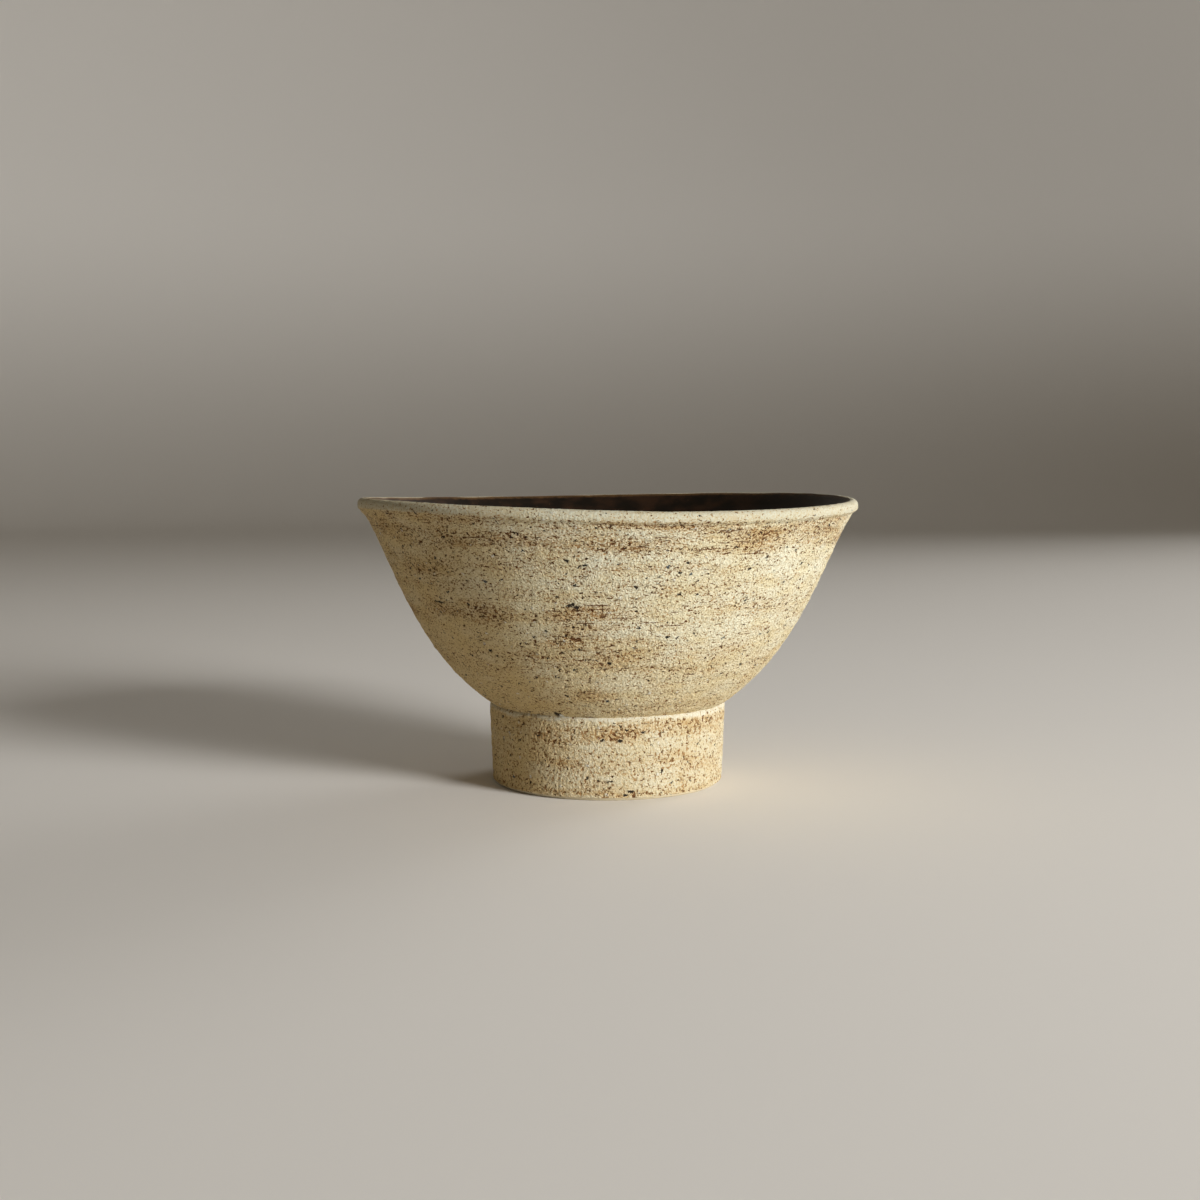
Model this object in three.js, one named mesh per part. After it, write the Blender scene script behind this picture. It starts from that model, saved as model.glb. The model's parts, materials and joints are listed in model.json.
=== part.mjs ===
// A wheel-thrown stoneware bowl on a tall foot ring, in millimetres, with +Z up.
// The origin is the centre of the circle that the foot stands on.
// The bowl and its foot ring are thrown apart and joined with clay slip while leather hard.
// A sandy pale slip then covers the outside and the lip, and a dark glaze lines the inside.
import * as THREE from "three";

// The whole bowl, with its coats on
const rimDiameter = 126;
const bowlHeight = 71.85; // to the crest of the lip, half way between its high and low sides
const rimWarp = 0.84; // rise and dip of the fired lip, which has warped into a slight saddle
const rimWarpTurn = 25.5; // where one high side of the lip lies, in degrees from +X

// The wall and the floor
const launchAngle = 33.5; // slope of the wall as it leaves the foot, in degrees above level
const bellyReach = 23.5; // how far that slope carries on before the wall turns up
const flareAngle = 57; // slope of the wall as it comes up under the lip
const flareReach = 11; // how far below the lip that flare begins
const wallUnderLip = 3.2;
const wallAtFoot = 5.6;
const floorThickness = 6;
const bellyDrop = 5.2; // how far the round underside hangs below the foot of the wall

// The rolled lip
const lipThickness = 2.8;
const lipDepth = 2.4; // from the crest down to the lower edge of the roll
const lipOverhang = 1.8; // how far the roll stands out past the wall
const lipUnderside = 1.9; // height of the sloping face under the roll
const lipEdgeRadius = 1; // rounding of the lower edge of the roll
const innerFlare = 6; // height of the straight face inside the lip, down from its crest
const glazeLine = 20; // where the glaze ends, in degrees round the lip from its crest

// The foot ring
const footDiameter = 60.2; // at the shoulder
const footBaseDiameter = 58.6; // at the standing edge, before its bevel
const footHeight = 20.35; // to the top of the rounding of its shoulder, before its coat
const footWallTop = 6.2;
const footWallBase = 4.6;
const shoulderRadius = 0.8;
const ledgeAngle = 52; // how far round the shoulder its coat runs up to the wall, in degrees
const standingBevel = 0.6; // outer edge of the standing face
const recessBevel = 0.8; // inner edge of the standing face

// The coats
const slipThickness = 0.35;
const glazeThickness = 0.5;
const lutingThickness = 0.5; // of the clay slip that joins the ring to the bowl
const bareStrip = 0.2; // strip of bare clay left between the slip and the standing bevel

// Number of flats round the bowl, and along each stretch of its outline
const flatsRound = 48;
const wallSpans = 10;
const lipEdgeSpans = 2;
const crestSpans = 4;
const insideSpans = 8;
const floorSpans = 4;
const undersideSpans = 3;
const seatSpans = 2;
const shoulderSpans = 3;

// Points are a radius and a height. Every outline runs anticlockwise, with the clay on its left.
const at = (radius, height) => new THREE.Vector2(radius, height);
const offset = (start, direction, distance) => start.clone().addScaledVector(direction, distance);
const reversed = (path) => [...path].reverse();
const launch = THREE.MathUtils.degToRad(launchAngle);
const flare = THREE.MathUtils.degToRad(flareAngle);
const ledge = THREE.MathUtils.degToRad(ledgeAngle);

// Joins stretches end to end, once for each point that two of them share.
function chain(...stretches) {
  const path = [];
  for (const spot of stretches.flat()) {
    if (!path.length || path.at(-1).distanceTo(spot) > 1e-6) {
      path.push(spot);
    }
  }
  return path;
}

// Samples part of a curve that is given as a function of the share of its length.
function stretch(curve, from, to, spans) {
  return Array.from({ length: spans + 1 }, (_, i) => {
    return curve(THREE.MathUtils.lerp(from, to, i / spans));
  });
}

// Finds the share of a curve at which a measure that grows along it comes to a value.
function shareWhere(measure, value) {
  let low = 0;
  let high = 1;
  while (high - low > 1e-9) {
    const middle = (low + high) / 2;
    if (measure(middle) < value) low = middle;
    else high = middle;
  }
  return low;
}

function arc(centre, radius, from, to, spans) {
  return new THREE.EllipseCurve(centre.x, centre.y, radius, radius, from, to).getPoints(spans);
}

// The direction out of the clay at each point, square to the outline on both sides of it.
function facings(path, first, last) {
  const square = (a, b) => at(b.y - a.y, a.x - b.x).normalize();
  return path.map((spot, i) => {
    if (i === 0) return first;
    if (i === path.length - 1) return last;
    return square(path[i - 1], spot).add(square(spot, path[i + 1])).normalize();
  });
}

// Moves each point of an outline the same distance along its facing.
function shift(path, facing, distance) {
  return path.map((spot, i) => offset(spot, facing[i], distance));
}

// The foot ring's own clay, up its outside from the standing edge and round its shoulder
const footShoulder = footDiameter / 2 - slipThickness;
const footToe = footBaseDiameter / 2 - slipThickness;
const shoulderCentre = at(footShoulder - shoulderRadius, footHeight - shoulderRadius);
const footSide = (height) => {
  return at(THREE.MathUtils.lerp(footToe, footShoulder, height / shoulderCentre.y), height);
};
const shoulder = arc(shoulderCentre, shoulderRadius, 0, ledge, shoulderSpans);
const footCoated = chain([footSide(standingBevel + bareStrip)], shoulder);
const footOut = at(shoulderCentre.y, footToe - footShoulder).normalize();
const ledgeOut = at(Math.cos(ledge), Math.sin(ledge));
const footCoat = shift(footCoated, facings(footCoated, footOut, ledgeOut), slipThickness);

// The outside of the wall, from where its coat meets the foot's to the crease under the lip
const launchOut = at(Math.sin(launch), -Math.cos(launch));
const wallStart = footCoat.at(-1);
const lipEdge = at(rimDiameter / 2, bowlHeight - lipDepth);
const crease = at(lipEdge.x - lipOverhang, lipEdge.y - lipUnderside);
const wall = new THREE.CubicBezierCurve(
  wallStart,
  offset(wallStart, at(Math.cos(launch), Math.sin(launch)), bellyReach),
  offset(crease, at(Math.cos(flare), Math.sin(flare)), -flareReach),
  crease,
);
const wallOutside = wall.getPoints(wallSpans);

// The rolled lip: its rounded lower edge, then its crest as far as the glaze
const undersideTurn = Math.atan2(lipOverhang, lipUnderside);
const lipEdgeCentre = at(
  lipEdge.x - lipEdgeRadius,
  lipEdge.y + lipEdgeRadius * Math.tan(undersideTurn / 2),
);
const lipRadius = lipThickness / 2;
const crestCentre = at(rimDiameter / 2 - lipRadius, bowlHeight - lipRadius);
const glazeTurn = THREE.MathUtils.degToRad(90 + glazeLine);
const outside = chain(
  wallOutside,
  arc(lipEdgeCentre, lipEdgeRadius, -undersideTurn, 0, lipEdgeSpans),
  arc(crestCentre, lipRadius, 0, glazeTurn, crestSpans),
);

// The inside of the wall lies at a depth behind the outside that grows towards the foot.
function behindWall(share) {
  const tangent = wall.getTangent(share);
  const depth = THREE.MathUtils.lerp(wallAtFoot, wallUnderLip, share);
  return offset(wall.getPoint(share), at(tangent.y, -tangent.x), -depth);
}
const flareShare = shareWhere((share) => behindWall(share).y, bowlHeight - innerFlare);
const wallInside = stretch(behindWall, 0, flareShare, insideSpans);

// A straight face leaves the lip on a tangent and meets the top of that inside wall.
const fromCrest = wallInside.at(-1).clone().sub(crestCentre);
const innerTurn = fromCrest.angle() - Math.acos(lipRadius / fromCrest.length());
const lipInside = arc(crestCentre, lipRadius, glazeTurn, innerTurn, 1);

// The floor runs level at its centre and meets the inside of the wall without a corner.
const underside = offset(wallStart, launchOut, -slipThickness).y - bellyDrop;
const floorHeight = underside + floorThickness;
const floorRim = wallInside[0];
const floor = new THREE.QuadraticBezierCurve(
  floorRim,
  at(floorRim.x - (floorRim.y - floorHeight) / Math.tan(launch), floorHeight),
  at(0, floorHeight),
);
const inside = chain(lipInside, reversed(wallInside), floor.getPoints(floorSpans));

// The clay lies under the slip and the glaze.
const whole = chain(outside, inside);
const wholeFacing = facings(whole, launchOut, at(0, 1));
const outsideFacing = wholeFacing.slice(0, outside.length);
const insideFacing = wholeFacing.slice(outside.length - 1);
const clayOutside = shift(outside, outsideFacing, -slipThickness);
const clayInside = shift(inside, insideFacing, -glazeThickness);

// The round underside, bare clay, out to the seat of the foot ring and on to the wall
const seam = clayOutside[0];
const belly = new THREE.QuadraticBezierCurve(
  at(0, underside),
  at(seam.x - bellyDrop / Math.tan(launch), underside),
  seam,
);

const bellyAt = (share) => belly.getPoint(share);
const seatShare = shareWhere((share) => bellyAt(share).x, footShoulder - footWallTop);
const bareBelly = stretch(bellyAt, 0, seatShare, undersideSpans);
const seatBelly = stretch(bellyAt, seatShare, 1, seatSpans);

// The luting slip fills the space between that seat and the top of the foot ring, and comes to an
// edge where the two coats meet.
const seatTangent = belly.getTangent(seatShare);
const seatOut = at(seatTangent.y, -seatTangent.x);
const seatUnder = shift(seatBelly, facings(seatBelly, seatOut, launchOut), lutingThickness);
const seatFoot = [...seatUnder.slice(0, -1), shoulder.at(-1)];

// Whether one point of an outline comes before another, going up and then out
const before = (a, b) => a.y < b.y || (a.y === b.y && a.x < b.x);

// Turns an outline about the axis. Both sides of a shared surface are split into triangles along
// the same diagonals, so that a coat lies on its clay with neither a gap nor an overlap.
function turned(outline) {
  const geometry = new THREE.LatheGeometry(outline, flatsRound);
  const triangles = [];
  for (let column = 0; column < flatsRound; column += 1) {
    for (let row = 0; row < outline.length - 1; row += 1) {
      const a = column * outline.length + row;
      const b = a + outline.length;
      const c = b + 1;
      const d = a + 1;
      if (before(outline[row], outline[row + 1])) triangles.push(a, b, d, c, d, b);
      else triangles.push(a, b, c, a, c, d);
    }
  }
  geometry.setIndex(triangles);
  geometry.rotateX(Math.PI / 2);
  warpRim(geometry.getAttribute("position"));
  geometry.computeVertexNormals();
  return geometry;
}

// Lifts two opposite sides of the lip and lowers the two between, fading out down to the foot.
function warpRim(position) {
  const highSide = THREE.MathUtils.degToRad(rimWarpTurn);
  for (let i = 0; i < position.count; i += 1) {
    const height = position.getZ(i);
    const turn = Math.atan2(position.getY(i), position.getX(i));
    const share = THREE.MathUtils.smoothstep(height, wallStart.y, bowlHeight);
    position.setZ(i, height + rimWarp * share * Math.cos(2 * (turn - highSide)));
  }
}

const clay = new THREE.MeshStandardMaterial({ color: 0xa9875c, roughness: 0.9, metalness: 0 });
const wetClay = new THREE.MeshStandardMaterial({ color: 0x8f6f4a, roughness: 0.9, metalness: 0 });
const paleSlip = new THREE.MeshStandardMaterial({ color: 0xcdb98a, roughness: 0.85, metalness: 0 });
const darkGlaze = new THREE.MeshStandardMaterial({ color: 0x2a1b12, roughness: 0.35, metalness: 0 });

function piece(name, outline, material) {
  const mesh = new THREE.Mesh(turned(outline), material);
  mesh.name = name;
  return mesh;
}

const bowlBody = chain(bareBelly, seatBelly, clayOutside, clayInside);
const outerSlip = chain(outside, reversed(clayOutside), [outside[0]]);
const innerGlaze = chain(reversed(clayInside), inside);
const lutingSlip = chain(seatFoot, [wallStart], reversed(seatBelly), [seatFoot[0]]);
const footSlip = chain(footCoat, reversed(footCoated), [footCoat[0]]);
const standingRim = [
  at(footToe - footWallBase, recessBevel),
  at(footToe - footWallBase + recessBevel, 0),
  at(footToe - standingBevel, 0),
  footSide(standingBevel),
];
const footRing = chain(standingRim, footCoated, reversed(seatFoot), [standingRim[0]]);

const bowl = new THREE.Group();
bowl.add(
  piece("bowl_body", bowlBody, clay),
  piece("inner_glaze", innerGlaze, darkGlaze),
  piece("outer_slip", outerSlip, paleSlip),
);
const foot = new THREE.Group();
foot.add(
  piece("foot_ring", footRing, clay),
  piece("luting_slip", lutingSlip, wetClay),
  piece("foot_slip", footSlip, paleSlip),
);
const pottery = new THREE.Group();
pottery.add(bowl, foot);

export default pottery;
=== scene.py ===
import json
import math

import bmesh
import bpy
import numpy as np
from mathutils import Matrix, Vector

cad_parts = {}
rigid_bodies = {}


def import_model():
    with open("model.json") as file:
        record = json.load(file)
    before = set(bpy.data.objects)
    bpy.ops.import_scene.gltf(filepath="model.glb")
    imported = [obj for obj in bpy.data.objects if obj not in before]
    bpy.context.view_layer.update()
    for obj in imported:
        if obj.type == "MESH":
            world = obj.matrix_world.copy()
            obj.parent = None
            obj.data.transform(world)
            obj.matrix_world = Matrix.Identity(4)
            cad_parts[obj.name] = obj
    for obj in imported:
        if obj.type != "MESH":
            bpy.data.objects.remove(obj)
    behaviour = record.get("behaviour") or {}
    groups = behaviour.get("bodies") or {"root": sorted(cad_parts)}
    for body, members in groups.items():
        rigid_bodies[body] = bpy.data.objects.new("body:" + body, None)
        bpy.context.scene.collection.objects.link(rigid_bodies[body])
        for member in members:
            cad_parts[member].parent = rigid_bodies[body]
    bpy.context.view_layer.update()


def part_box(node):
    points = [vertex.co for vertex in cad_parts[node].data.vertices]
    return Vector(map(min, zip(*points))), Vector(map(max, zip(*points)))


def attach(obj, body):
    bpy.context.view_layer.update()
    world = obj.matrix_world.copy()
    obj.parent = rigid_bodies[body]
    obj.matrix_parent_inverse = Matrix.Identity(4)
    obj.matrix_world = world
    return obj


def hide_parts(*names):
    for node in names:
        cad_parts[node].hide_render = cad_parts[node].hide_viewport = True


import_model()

mm = 0.001
scene = bpy.context.scene
scene.view_settings.view_transform = "Standard"

# the camera stands just above the lip and looks slightly down
photoCamera = {
    "place": (-1.88 * mm, -433.1 * mm, 84.97 * mm),
    "lookDown": 5.125,
    "lens": 51, "sensor": 36, "nearest": 0.01,
}
cameraData = bpy.data.cameras.new("photoCamera")
cameraData.sensor_width = photoCamera["sensor"]
cameraData.lens = photoCamera["lens"]
cameraData.clip_start = photoCamera["nearest"]
camera = bpy.data.objects.new("photoCamera", cameraData)
camera.location = photoCamera["place"]
camera.rotation_euler = (math.radians(90 - photoCamera["lookDown"]), 0, 0)
scene.collection.objects.link(camera)
scene.camera = camera
print("camera placed")


# outlines are arrays of radius and height, anticlockwise round the clay
def at(radius, height):
    return np.array([radius, height], float)


def aim(angle):
    return at(math.cos(angle), math.sin(angle))


def bezier(*controls, count=400):
    share = np.linspace(0, 1, count)[:, None]
    points = [control + 0 * share for control in controls]
    while len(points) > 1:
        points = [a + (b - a) * share for a, b in zip(points, points[1:])]
    return points[0]


def arc(centre, radius, fromTurn, toTurn, count=60):
    turn = np.linspace(fromTurn, toTurn, count)
    return centre + radius * np.column_stack([np.cos(turn), np.sin(turn)])


def along(path):
    steps = np.linalg.norm(np.diff(path, axis=0), axis=1)
    return np.concatenate([[0], np.cumsum(steps)])


def evenly(path, step):
    length = along(path)
    wanted = np.linspace(0, length[-1], max(2, round(length[-1] / step) + 1))
    return np.column_stack([np.interp(wanted, length, path[:, k]) for k in (0, 1)])


def facing(path):
    step = np.gradient(path, axis=0)
    out = np.column_stack([step[:, 1], -step[:, 0]])
    return out / np.linalg.norm(out, axis=1)[:, None]


def smooth(value, low, high):
    share = np.clip((value - low) / (high - low), 0, 1)
    return share * share * (3 - 2 * share)


# the thrown form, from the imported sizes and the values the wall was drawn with
form = {
    "launchAngle": 33.5, "bellyReach": 23.5 * mm,
    "flareAngle": 57, "flareReach": 11 * mm,
    "crestHeight": 71.85 * mm, "rimWarp": 0.84 * mm, "rimWarpTurn": 25.5,
    "wallUnderLip": 3.2 * mm, "wallAtFoot": 5.6 * mm,
    "floorThickness": 6 * mm, "bellyDrop": 5.2 * mm,
    "lipThickness": 2.8 * mm, "lipDepth": 2.4 * mm, "lipOverhang": 1.8 * mm,
    "lipUnderside": 1.9 * mm, "lipEdgeRadius": 1 * mm,
    "innerFlare": 6 * mm, "glazeLine": 20,
    "shoulderRadius": 0.8 * mm, "ledgeAngle": 52,
    "slip": 0.35 * mm, "glaze": 0.5 * mm, "luting": 0.5 * mm,
    "footWallTop": 6.2 * mm, "footWallBase": 4.6 * mm,
    "standingBevel": 0.6 * mm, "recessBevel": 0.8 * mm, "bareStrip": 0.2 * mm,
    "footHeight": 20.35 * mm, "footBaseRadius": 29.3 * mm,
    "lumps": 0.1 * mm, "ledgeLumps": 0.1 * mm,  # how far the lip and the ledge stray
    "outOfRound": 0.14 * mm,
    "glazeWander": 13,  # degrees that the glaze's edge strays round the lip
    "undercut": 0.45 * mm, "undercutSide": (-15, 115, 40),  # the crease is deeper on the right
    "undercutTop": 0.8 * mm, "undercutFoot": 1.5 * mm, "undercutTall": 2.3 * mm,
    "undercutFrom": 3.2 * mm, "undercutTo": 2.1 * mm,  # in from the rim
    "ledgeReach": 1.6 * mm, "ledgeInset": 1 * mm,  # where the ledge is lumpy
    "glazeReach": (1.6 * mm, 1.45 * mm), "glazeTurnReach": (1.0, 0.1),  # where the glaze's edge strays
    "insideStep": 0.2 * mm, "insideEasing": 60,
}

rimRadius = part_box("outer_slip")[1].x
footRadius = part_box("foot_slip")[1].x
launch = math.radians(form["launchAngle"])
flare = math.radians(form["flareAngle"])
launchOut = at(math.sin(launch), -math.cos(launch))

# foot ring: its clay up the outside and round the shoulder, then the coat on it
footShoulder = footRadius - form["slip"]
footToe = form["footBaseRadius"] - form["slip"]
shoulderCentre = at(footShoulder, form["footHeight"]) - form["shoulderRadius"]


def footSide(height):
    return at(footToe + (footShoulder - footToe) * height / shoulderCentre[1], height)


ledge = math.radians(form["ledgeAngle"])
footCoated = np.vstack([
    [footSide(form["standingBevel"] + form["bareStrip"])],
    arc(shoulderCentre, form["shoulderRadius"], 0, ledge, 30),
])
sideOut = at(shoulderCentre[1], footToe - footShoulder)
footOut = np.vstack([[sideOut / np.linalg.norm(sideOut)], arc(at(0, 0), 1, 0, ledge, 30)])
footOutside = footCoated + footOut * form["slip"]

# wall from the ledge to the crease, then the rolled lip
wallStart = footOutside[-1]
lipEdge = at(rimRadius, form["crestHeight"] - form["lipDepth"])
crease = lipEdge - at(form["lipOverhang"], form["lipUnderside"])
wallPath = bezier(wallStart, wallStart + aim(launch) * form["bellyReach"],
                  crease - aim(flare) * form["flareReach"], crease)
undersideTurn = math.atan2(form["lipOverhang"], form["lipUnderside"])
edgeRise = form["lipEdgeRadius"] * math.tan(undersideTurn / 2)
lipEdgeCentre = lipEdge + at(-form["lipEdgeRadius"], edgeRise)
lipRadius = form["lipThickness"] / 2
crestCentre = at(rimRadius, form["crestHeight"]) - lipRadius
glazeTurn = math.radians(90 + form["glazeLine"])
outside = np.vstack([
    wallPath[:-1],
    arc(lipEdgeCentre, form["lipEdgeRadius"], -undersideTurn, 0),
    arc(crestCentre, lipRadius, 0, glazeTurn),
])

# inside: the wall at a growing depth, a straight flare to the lip, and the floor
depth = np.linspace(form["wallAtFoot"], form["wallUnderLip"], len(wallPath))[:, None]
behindWall = wallPath - facing(wallPath) * depth
behindWall = behindWall[behindWall[:, 1] < form["crestHeight"] - form["innerFlare"]]
fromCrest = behindWall[-1] - crestCentre
innerTurn = (math.atan2(fromCrest[1], fromCrest[0]) % (2 * math.pi)
             - math.acos(lipRadius / np.linalg.norm(fromCrest)))
underside = (wallStart - launchOut * form["slip"])[1] - form["bellyDrop"]
floorHeight = underside + form["floorThickness"]
floorRim = behindWall[0]
floorKnee = at(floorRim[0] - (floorRim[1] - floorHeight) / math.tan(launch), floorHeight)
inside = np.vstack([
    arc(crestCentre, lipRadius, glazeTurn, innerTurn)[:-1],
    behindWall[::-1],
    bezier(floorRim, floorKnee, at(0, floorHeight))[1:],
])
insideSoft = evenly(inside, form["insideStep"])
for _ in range(form["insideEasing"]):  # eases the corner where the flare meets the wall
    insideSoft[1:-1] = (insideSoft[:-2] + 2 * insideSoft[1:-1] + insideSoft[2:]) / 4

# clay under the coats, its round underside and the seat of the ring
clayOutside = outside - facing(outside) * form["slip"]
clayOutside[0] = wallStart - launchOut * form["slip"]
clayInside = insideSoft - facing(insideSoft) * form["glaze"]
clayInside[-1] = at(0, floorHeight - form["glaze"])
seam = clayOutside[0]
belly = bezier(at(0, underside), at(seam[0] - form["bellyDrop"] / math.tan(launch), underside), seam)
seatInner = footShoulder - form["footWallTop"]
bareBelly, seatBelly = (belly[belly[:, 0] <= seatInner], belly[belly[:, 0] >= seatInner])
seatFoot = seatBelly + facing(seatBelly) * form["luting"]
seatFoot[-1] = footCoated[-1]
print("outlines drawn")


def roundWheel(columns):  # the turn of each column, in radians
    return np.linspace(0, 2 * math.pi, columns, endpoint=False)[None, :]


# noise that closes on itself round the wheel, from -1 to 1
def wheelNoise(seed, turn, height, around, tall):
    knotRows = 400
    knots = np.random.default_rng(seed).uniform(-1, 1, (knotRows, around))
    u = (turn / (2 * math.pi)) % 1 * around
    v = (height - np.min(height)) / tall
    column, row = np.floor(u).astype(int), np.floor(v).astype(int) % (knotRows - 2)
    u, v = smooth(u - column, 0, 1), smooth(v - np.floor(v), 0, 1)
    left, right = column % around, (column + 1) % around
    low = knots[row, left] * (1 - u) + knots[row, right] * u
    high = knots[row + 1, left] * (1 - u) + knots[row + 1, right] * u
    return low * (1 - v) + high * v


def fromFront(turn):  # degrees from the side that faces the camera, positive to its right
    return np.degrees((turn + math.pi / 2 + math.pi) % (2 * math.pi) - math.pi)


def sector(turn, start, stop, fade):  # 1 between two sides, fading out past them
    side = fromFront(turn)
    return smooth(side, start - fade, start) * smooth(side, stop + fade, stop)


# every piece takes the same saddle, lumps and out-of-round, so that they stay together
def settle(radius, height, turn):
    rise = smooth(height, wallStart[1], form["crestHeight"])
    lump = wheelNoise(3, turn, 0 * height, 9, 1) + 0.5 * wheelNoise(4, turn, 0 * height, 23, 1)
    saddle = form["rimWarp"] * np.cos(2 * (turn - math.radians(form["rimWarpTurn"])))
    swell = form["outOfRound"] * wheelNoise(5, turn, 0 * height, 5, 1)
    fromCentre = np.hypot(radius - crestCentre[0], height - crestCentre[1])
    roundLip = np.arctan2(height - crestCentre[1], radius - crestCentre[0])
    near = smooth(fromCentre, *form["glazeReach"])
    near = near * smooth(np.abs(roundLip - glazeTurn), *form["glazeTurnReach"])
    below = lipEdge[1] - height
    cut = np.minimum(below / form["undercutTop"], (form["undercutTall"] - below) / form["undercutFoot"])
    underLip = smooth(radius, rimRadius - form["undercutFrom"], rimRadius - form["undercutTo"])
    cut = np.clip(cut, 0, 1) * underLip
    cut = cut * sector(turn, *form["undercutSide"])
    atLedge = np.exp(-((height - wallStart[1]) / form["ledgeReach"]) ** 2)
    atLedge = atLedge * smooth(radius, seatInner, footShoulder - form["ledgeInset"])
    thumbed = wheelNoise(8, turn, 0 * height, 17, 1) + 0.6 * wheelNoise(9, turn, 0 * height, 47, 1)
    height = height + form["ledgeLumps"] * atLedge * thumbed
    stray = np.radians(form["glazeWander"]) * near * (
        wheelNoise(6, turn, 0 * height, 31, 1) + 0.5 * wheelNoise(7, turn, 0 * height, 83, 1))
    radius = np.where(near > 0, crestCentre[0] + fromCentre * np.cos(roundLip + stray), radius)
    height = np.where(near > 0, crestCentre[1] + fromCentre * np.sin(roundLip + stray), height)
    return radius + swell * rise - form["undercut"] * cut, height + rise * (saddle + form["lumps"] * lump)


# turns an outline into a closed mesh; a row on the axis becomes a single point
def turnOutline(name, rows, columns, lift, values):
    turn = roundWheel(columns)
    out = facing(rows)
    radius = rows[:, :1] + out[:, :1] * lift
    height = rows[:, 1:] + out[:, 1:] * lift
    radius, height = settle(radius, height, turn + 0 * radius)
    points = np.stack([radius * np.cos(turn), radius * np.sin(turn), height], axis=2)
    grid = np.arange(len(rows) * columns).reshape(len(rows), columns)
    poles = rows[0, 0] < 1e-6 and rows[-1, 0] < 1e-6
    body = grid[1:-1] if poles else np.vstack([grid, grid[:1]])
    a, b = body[:-1], body[1:]
    quads = np.stack([a, np.roll(a, -1, 1), np.roll(b, -1, 1), b], axis=2).reshape(-1, 4)
    faces = quads.tolist()
    points = points.reshape(-1, 3)
    if poles:
        first, last = grid[0, 0], grid[-1, 0]
        for j in range(columns):
            k = (j + 1) % columns
            faces.append([first, grid[1, k], grid[1, j]])
            faces.append([last, grid[-2, j], grid[-2, k]])
    mesh = bpy.data.meshes.new(name)
    mesh.from_pydata(points.tolist(), [], faces)
    for label, value in values.items():
        layer = mesh.attributes.new(label, "FLOAT", "POINT")
        layer.data.foreach_set("value", (value + np.zeros(grid.shape)).ravel())
    if poles:  # the other points of the two rows on the axis are in no face
        shell = bmesh.new()
        shell.from_mesh(mesh)
        bmesh.ops.delete(shell, geom=[v for v in shell.verts if not v.link_faces], context="VERTS")
        shell.to_mesh(mesh)
        shell.free()
    mesh.shade_smooth()
    mesh.set_sharp_from_angle(angle=math.radians(70))
    piece = bpy.data.objects.new(name, mesh)
    scene.collection.objects.link(piece)
    return piece


# few rows where nothing shows, but close ones round the lip, to follow its crease
def hiddenRows(path, step, lipReach=9 * mm, lipStep=0.5 * mm):
    toEnd = along(path)[-1] - along(path)
    plain, lip = path[toEnd >= lipReach], path[toEnd <= lipReach]
    return np.vstack([evenly(plain, step)[:-1], evenly(lip, lipStep)])


# a coat: fine rows where it shows, then few rows back along the clay
def coatRows(shown, back):
    return np.vstack([shown, back[::-1]]), len(shown)


# short ways to make nodes, for materials and for the relief alike
def wire(tree, value, socket):
    if isinstance(value, bpy.types.NodeSocket):
        tree.links.new(value, socket)
    else:
        socket.default_value = value


def maths(tree, operation, *values):
    node = tree.nodes.new("ShaderNodeMath")
    node.operation = operation
    for value, socket in zip(values, node.inputs):
        wire(tree, value, socket)
    return node.outputs[0]


def stepUp(tree, value, low, high):
    node = tree.nodes.new("ShaderNodeMapRange")
    node.interpolation_type = "SMOOTHSTEP"
    for given, socket in zip((value, low, high), node.inputs):
        wire(tree, given, socket)
    return node.outputs[0]


def noiseAt(tree, place, size, detail=2.0, roughness=0.5, distortion=0.0):
    node = tree.nodes.new("ShaderNodeTexNoise")
    wire(tree, place, node.inputs["Vector"])
    wire(tree, maths(tree, "DIVIDE", 1.0, size), node.inputs["Scale"])
    node.inputs["Detail"].default_value = detail
    node.inputs["Roughness"].default_value = roughness
    node.inputs["Distortion"].default_value = distortion
    return node.outputs[0], node.outputs[1]


def flattened(tree, place, stretch):  # draws a pattern out along the wheel's turning
    node = tree.nodes.new("ShaderNodeVectorMath")
    node.operation = "MULTIPLY"
    both = tree.nodes.new("ShaderNodeCombineXYZ")
    both.inputs[0].default_value = both.inputs[1].default_value = 1
    wire(tree, stretch, both.inputs[2])
    wire(tree, place, node.inputs[0])
    wire(tree, both.outputs[0], node.inputs[1])
    return node.outputs[0]


def mixColour(tree, share, first, second):
    node = tree.nodes.new("ShaderNodeMix")
    node.data_type = "RGBA"
    for value, socket in zip((share, first, second), (node.inputs[0], node.inputs[6], node.inputs[7])):
        wire(tree, (*value, 1) if isinstance(value, tuple) else value, socket)
    return node.outputs[2]


# a pattern is built once for materials and once for relief, with the same nodes in both
def pattern(name, inputs, outputs, build):
    made = {}
    for kind in ("ShaderNodeTree", "GeometryNodeTree"):
        tree = bpy.data.node_groups.new(name, kind)
        for label, default in inputs.items():
            socketType = "NodeSocketVector" if label == "Place" else "NodeSocketFloat"
            socket = tree.interface.new_socket(label, in_out="INPUT", socket_type=socketType)
            if default is not None:
                socket.default_value = default
        for label in outputs:
            tree.interface.new_socket(label, in_out="OUTPUT", socket_type="NodeSocketFloat")
        given = tree.nodes.new("NodeGroupInput")
        result = tree.nodes.new("NodeGroupOutput")
        answers = build(tree, given.outputs)
        for label, answer in zip(outputs, answers):
            tree.links.new(answer, result.inputs[label])
        made[kind] = tree
    return made


def use(tree, made, **values):
    shader = tree.bl_idname == "ShaderNodeTree"
    node = tree.nodes.new("ShaderNodeGroup" if shader else "GeometryNodeGroup")
    node.node_tree = made[tree.bl_idname]
    for label, value in values.items():
        wire(tree, value, node.inputs[label])
    return node.outputs


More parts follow.
